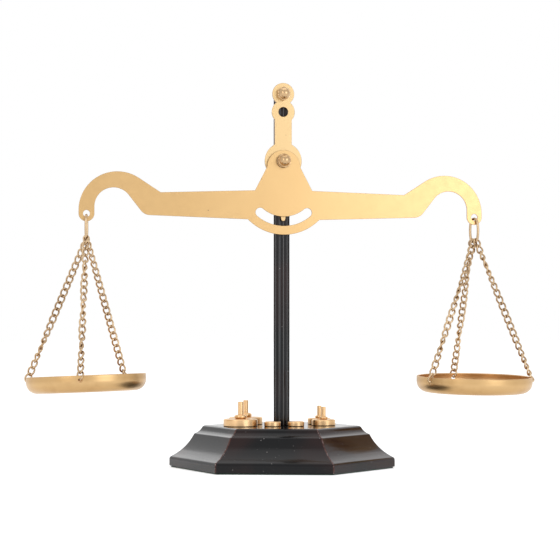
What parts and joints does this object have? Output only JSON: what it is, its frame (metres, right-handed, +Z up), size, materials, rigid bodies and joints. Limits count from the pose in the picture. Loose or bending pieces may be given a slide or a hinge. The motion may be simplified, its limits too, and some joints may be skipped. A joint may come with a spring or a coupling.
{
  "type": "balance scale",
  "caption": "Small brass beam balance: fluted post on a black six-sided moulded base, flat beam with hooked ends, two chained pans, loose weights.",
  "frame": {"origin": "centre of the underside of the base, on the ground", "axes": "+X along the beam to the right pan, -Y the front with the pointer, +Z up the post"},
  "size_m": [0.3501, 0.1486, 0.2632],
  "materials": {
    "black_lacquer": "glossy",
    "felt": "matte",
    "satin_brass": "satin",
    "pan_brass": "satin",
    "chain_brass": "satin",
    "weight_brass": "polished",
    "steel": "plated"
  },
  "bodies": {
    "stand": {"base": "black_lacquer", "felt_pad": "felt", "post": "black_lacquer", "post_stud": "steel", "base_washer": "steel", "base_nut": "steel", "bracket_plate": "satin_brass", "top_bolt": "steel", "top_acorn_nut": "satin_brass", "pivot_bolt": "steel", "pivot_spacer": "satin_brass", "pivot_washer": "satin_brass", "pivot_acorn_nut": "satin_brass"},
    "beam": {"beam": "satin_brass"},
    "left_ring": {"left_ring": "satin_brass"},
    "right_ring": {"right_ring": "satin_brass"},
    "left_top_links": {"left_top_links": "chain_brass"},
    "right_top_links": {"right_top_links": "chain_brass"},
    "left_pan": {"left_pan": "pan_brass", "left_chain_outer": "chain_brass", "left_chain_front": "chain_brass", "left_chain_back": "chain_brass"},
    "right_pan": {"right_pan": "pan_brass", "right_chain_outer": "chain_brass", "right_chain_front": "chain_brass", "right_chain_back": "chain_brass"},
    "large_weight_front": {"large_weight_front": "weight_brass"},
    "large_weight_back": {"large_weight_back": "weight_brass"},
    "medium_weight_front": {"medium_weight_front": "weight_brass"},
    "medium_weight_back": {"medium_weight_back": "weight_brass"},
    "small_weight_left": {"small_weight_left": "weight_brass"},
    "small_weight_right": {"small_weight_right": "weight_brass"}
  },
  "joints": [
    {"name": "beam_tilt", "type": "hinge", "parent": "stand", "child": "beam", "pos_m": [0, -0.0083, 0.20957], "axis": [0, 1, 0], "range_deg": [-15, 15]},
    {"name": "left_ring_hang", "type": "hinge", "parent": "beam", "child": "left_ring", "pos_m": [-0.1341, -0.0083, 0.17227], "axis": [0, 1, 0], "range_deg": [-15, 15]},
    {"name": "left_pan_swing", "type": "hinge", "parent": "left_ring", "child": "left_top_links", "pos_m": [-0.1341, -0.0083, 0.15871], "axis": [0.9848, -0.1736, 0], "range_deg": [-8, 8]},
    {"name": "left_pan_sway", "type": "hinge", "parent": "left_top_links", "child": "left_pan", "pos_m": [-0.13433, -0.00834, 0.15148], "axis": [0.1736, 0.9848, 0], "range_deg": [-8, 8]},
    {"name": "right_ring_hang", "type": "hinge", "parent": "beam", "child": "right_ring", "pos_m": [0.1341, -0.0083, 0.17227], "axis": [0, 1, 0], "range_deg": [-15, 15]},
    {"name": "right_pan_swing", "type": "hinge", "parent": "right_ring", "child": "right_top_links", "pos_m": [0.1341, -0.0083, 0.15871], "axis": [0.848, 0.5299, 0], "range_deg": [-8, 8]},
    {"name": "right_pan_sway", "type": "hinge", "parent": "right_top_links", "child": "right_pan", "pos_m": [0.13408, -0.0081, 0.15141], "axis": [-0.5299, 0.848, 0], "range_deg": [-8, 8]},
    {"name": "large_weight_front_lift", "type": "slide", "parent": "stand", "child": "large_weight_front", "axis": [0, 0, 1], "range_m": [0, 0.06]},
    {"name": "large_weight_back_lift", "type": "slide", "parent": "stand", "child": "large_weight_back", "axis": [0, 0, 1], "range_m": [0, 0.06]},
    {"name": "medium_weight_front_lift", "type": "slide", "parent": "stand", "child": "medium_weight_front", "axis": [0, 0, 1], "range_m": [0, 0.06]},
    {"name": "medium_weight_back_lift", "type": "slide", "parent": "stand", "child": "medium_weight_back", "axis": [0, 0, 1], "range_m": [0, 0.06]},
    {"name": "small_weight_left_lift", "type": "slide", "parent": "stand", "child": "small_weight_left", "axis": [0, 0, 1], "range_m": [0, 0.06]},
    {"name": "small_weight_right_lift", "type": "slide", "parent": "stand", "child": "small_weight_right", "axis": [0, 0, 1], "range_m": [0, 0.06]}
  ],
  "couplings": [
    {"joint": "left_ring_hang", "follows": "beam_tilt", "ratio": -1},
    {"joint": "right_ring_hang", "follows": "beam_tilt", "ratio": -1}
  ]
}
